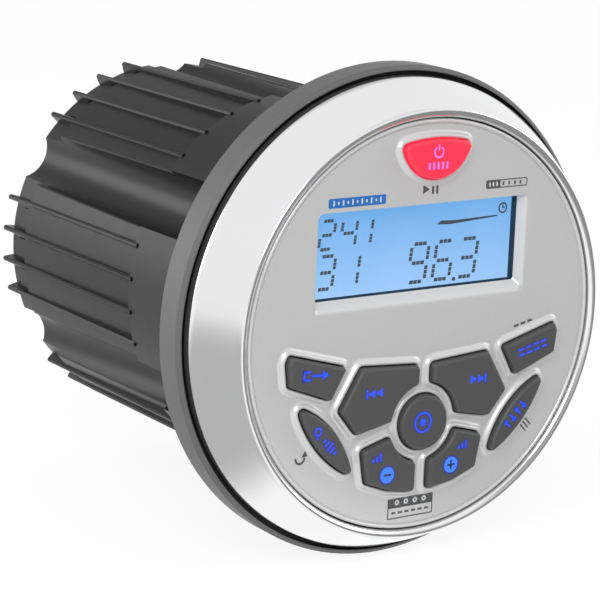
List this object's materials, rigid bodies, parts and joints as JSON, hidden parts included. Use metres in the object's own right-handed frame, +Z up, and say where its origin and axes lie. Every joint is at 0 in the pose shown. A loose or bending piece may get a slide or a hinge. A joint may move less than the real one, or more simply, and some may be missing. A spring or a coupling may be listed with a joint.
{
  "type": "marine stereo",
  "caption": "Round panel-mounted marine stereo: bright trim ring, silver face with a display and sprung buttons, ribbed and fluted housing behind the flange.",
  "frame": {"origin": "on the axis of the round body, in the plane of the dashboard's front, where the mounting gasket lies", "axes": "+Y along the body's axis towards the rear, so that the face looks along -Y; +Z up; +X to the right of someone facing the display"},
  "size_m": [0.1088, 0.1231, 0.1088],
  "materials": {
    "plated_trim": "bright plated plastic",
    "black_moulding": "glass-filled, lightly grained",
    "silver_face": "silver paint, satin",
    "clear_lens": "clear, polished",
    "display_blue": "backlit",
    "light_guide": "white, translucent",
    "key_grey": "soft touch",
    "key_red": "translucent, backlit",
    "silicone": "matt",
    "black_rubber": "matt",
    "circuit_board": "solder mask",
    "black_package": "moulded",
    "lamp": "clear resin",
    "steel": "zinc plated",
    "tin_plate": "tinned",
    "aluminium": "extruded",
    "brass": "turned",
    "nickel": "nickel plated",
    "white_plastic": "moulded",
    "black_plastic": "moulded",
    "copper": "enamelled wire"
  },
  "bodies": {
    "stereo": {"trim_ring": "plated_trim", "front_chassis": "black_moulding", "faceplate": "silver_face", "display_lens": "clear_lens", "lens_seal": "black_rubber", "display_frame": "tin_plate", "display_glass": "display_blue", "display_backlight": "light_guide", "key_mat": "silicone", "key_board": "circuit_board", "key_lamps": "lamp", "key_header": "white_plastic", "face_screws": "steel", "mounting_gasket": "black_rubber", "housing_seal": "black_rubber", "housing": "black_moulding", "housing_screws": "steel", "rear_cover": "black_moulding", "cover_seal": "black_rubber", "cover_screws": "steel", "mounting_inserts": "brass", "cable_gland": "black_plastic", "gland_nut": "black_plastic", "aerial_socket": "nickel", "board_tray": "tin_plate", "tray_screws": "steel", "board_pillars": "brass", "main_board": "circuit_board", "main_board_screws": "steel", "main_header": "white_plastic", "ribbon_cable": "white_plastic", "controller_chip": "black_package", "tuner_module": "tin_plate", "wireless_module": "tin_plate", "capacitors": "black_plastic", "coils": "copper", "amplifier_chip": "black_package", "heat_sink": "aluminium"},
    "power_key": {"power_button": "key_red"},
    "source_key": {"source_button": "key_grey"},
    "previous_key": {"previous_button": "key_grey"},
    "next_key": {"next_button": "key_grey"},
    "mode_key": {"mode_button": "key_grey"},
    "band_key": {"band_button": "key_grey"},
    "sound_key": {"sound_button": "key_grey"},
    "enter_key": {"enter_button": "key_grey"},
    "volume_down_key": {"volume_down_button": "key_grey"},
    "volume_up_key": {"volume_up_button": "key_grey"}
  },
  "joints": [
    {"name": "power_press", "type": "slide", "parent": "stereo", "child": "power_key", "axis": [0, 1, 0], "range_m": [0, 0.001], "stiffness_N_per_m": 1500},
    {"name": "source_press", "type": "slide", "parent": "stereo", "child": "source_key", "axis": [0, 1, 0], "range_m": [0, 0.001], "stiffness_N_per_m": 1500},
    {"name": "previous_press", "type": "slide", "parent": "stereo", "child": "previous_key", "axis": [0, 1, 0], "range_m": [0, 0.001], "stiffness_N_per_m": 1500},
    {"name": "next_press", "type": "slide", "parent": "stereo", "child": "next_key", "axis": [0, 1, 0], "range_m": [0, 0.001], "stiffness_N_per_m": 1500},
    {"name": "mode_press", "type": "slide", "parent": "stereo", "child": "mode_key", "axis": [0, 1, 0], "range_m": [0, 0.001], "stiffness_N_per_m": 1500},
    {"name": "band_press", "type": "slide", "parent": "stereo", "child": "band_key", "axis": [0, 1, 0], "range_m": [0, 0.001], "stiffness_N_per_m": 1500},
    {"name": "sound_press", "type": "slide", "parent": "stereo", "child": "sound_key", "axis": [0, 1, 0], "range_m": [0, 0.001], "stiffness_N_per_m": 1500},
    {"name": "enter_press", "type": "slide", "parent": "stereo", "child": "enter_key", "axis": [0, 1, 0], "range_m": [0, 0.001], "stiffness_N_per_m": 1500},
    {"name": "volume_down_press", "type": "slide", "parent": "stereo", "child": "volume_down_key", "axis": [0, 1, 0], "range_m": [0, 0.001], "stiffness_N_per_m": 1500},
    {"name": "volume_up_press", "type": "slide", "parent": "stereo", "child": "volume_up_key", "axis": [0, 1, 0], "range_m": [0, 0.001], "stiffness_N_per_m": 1500}
  ]
}
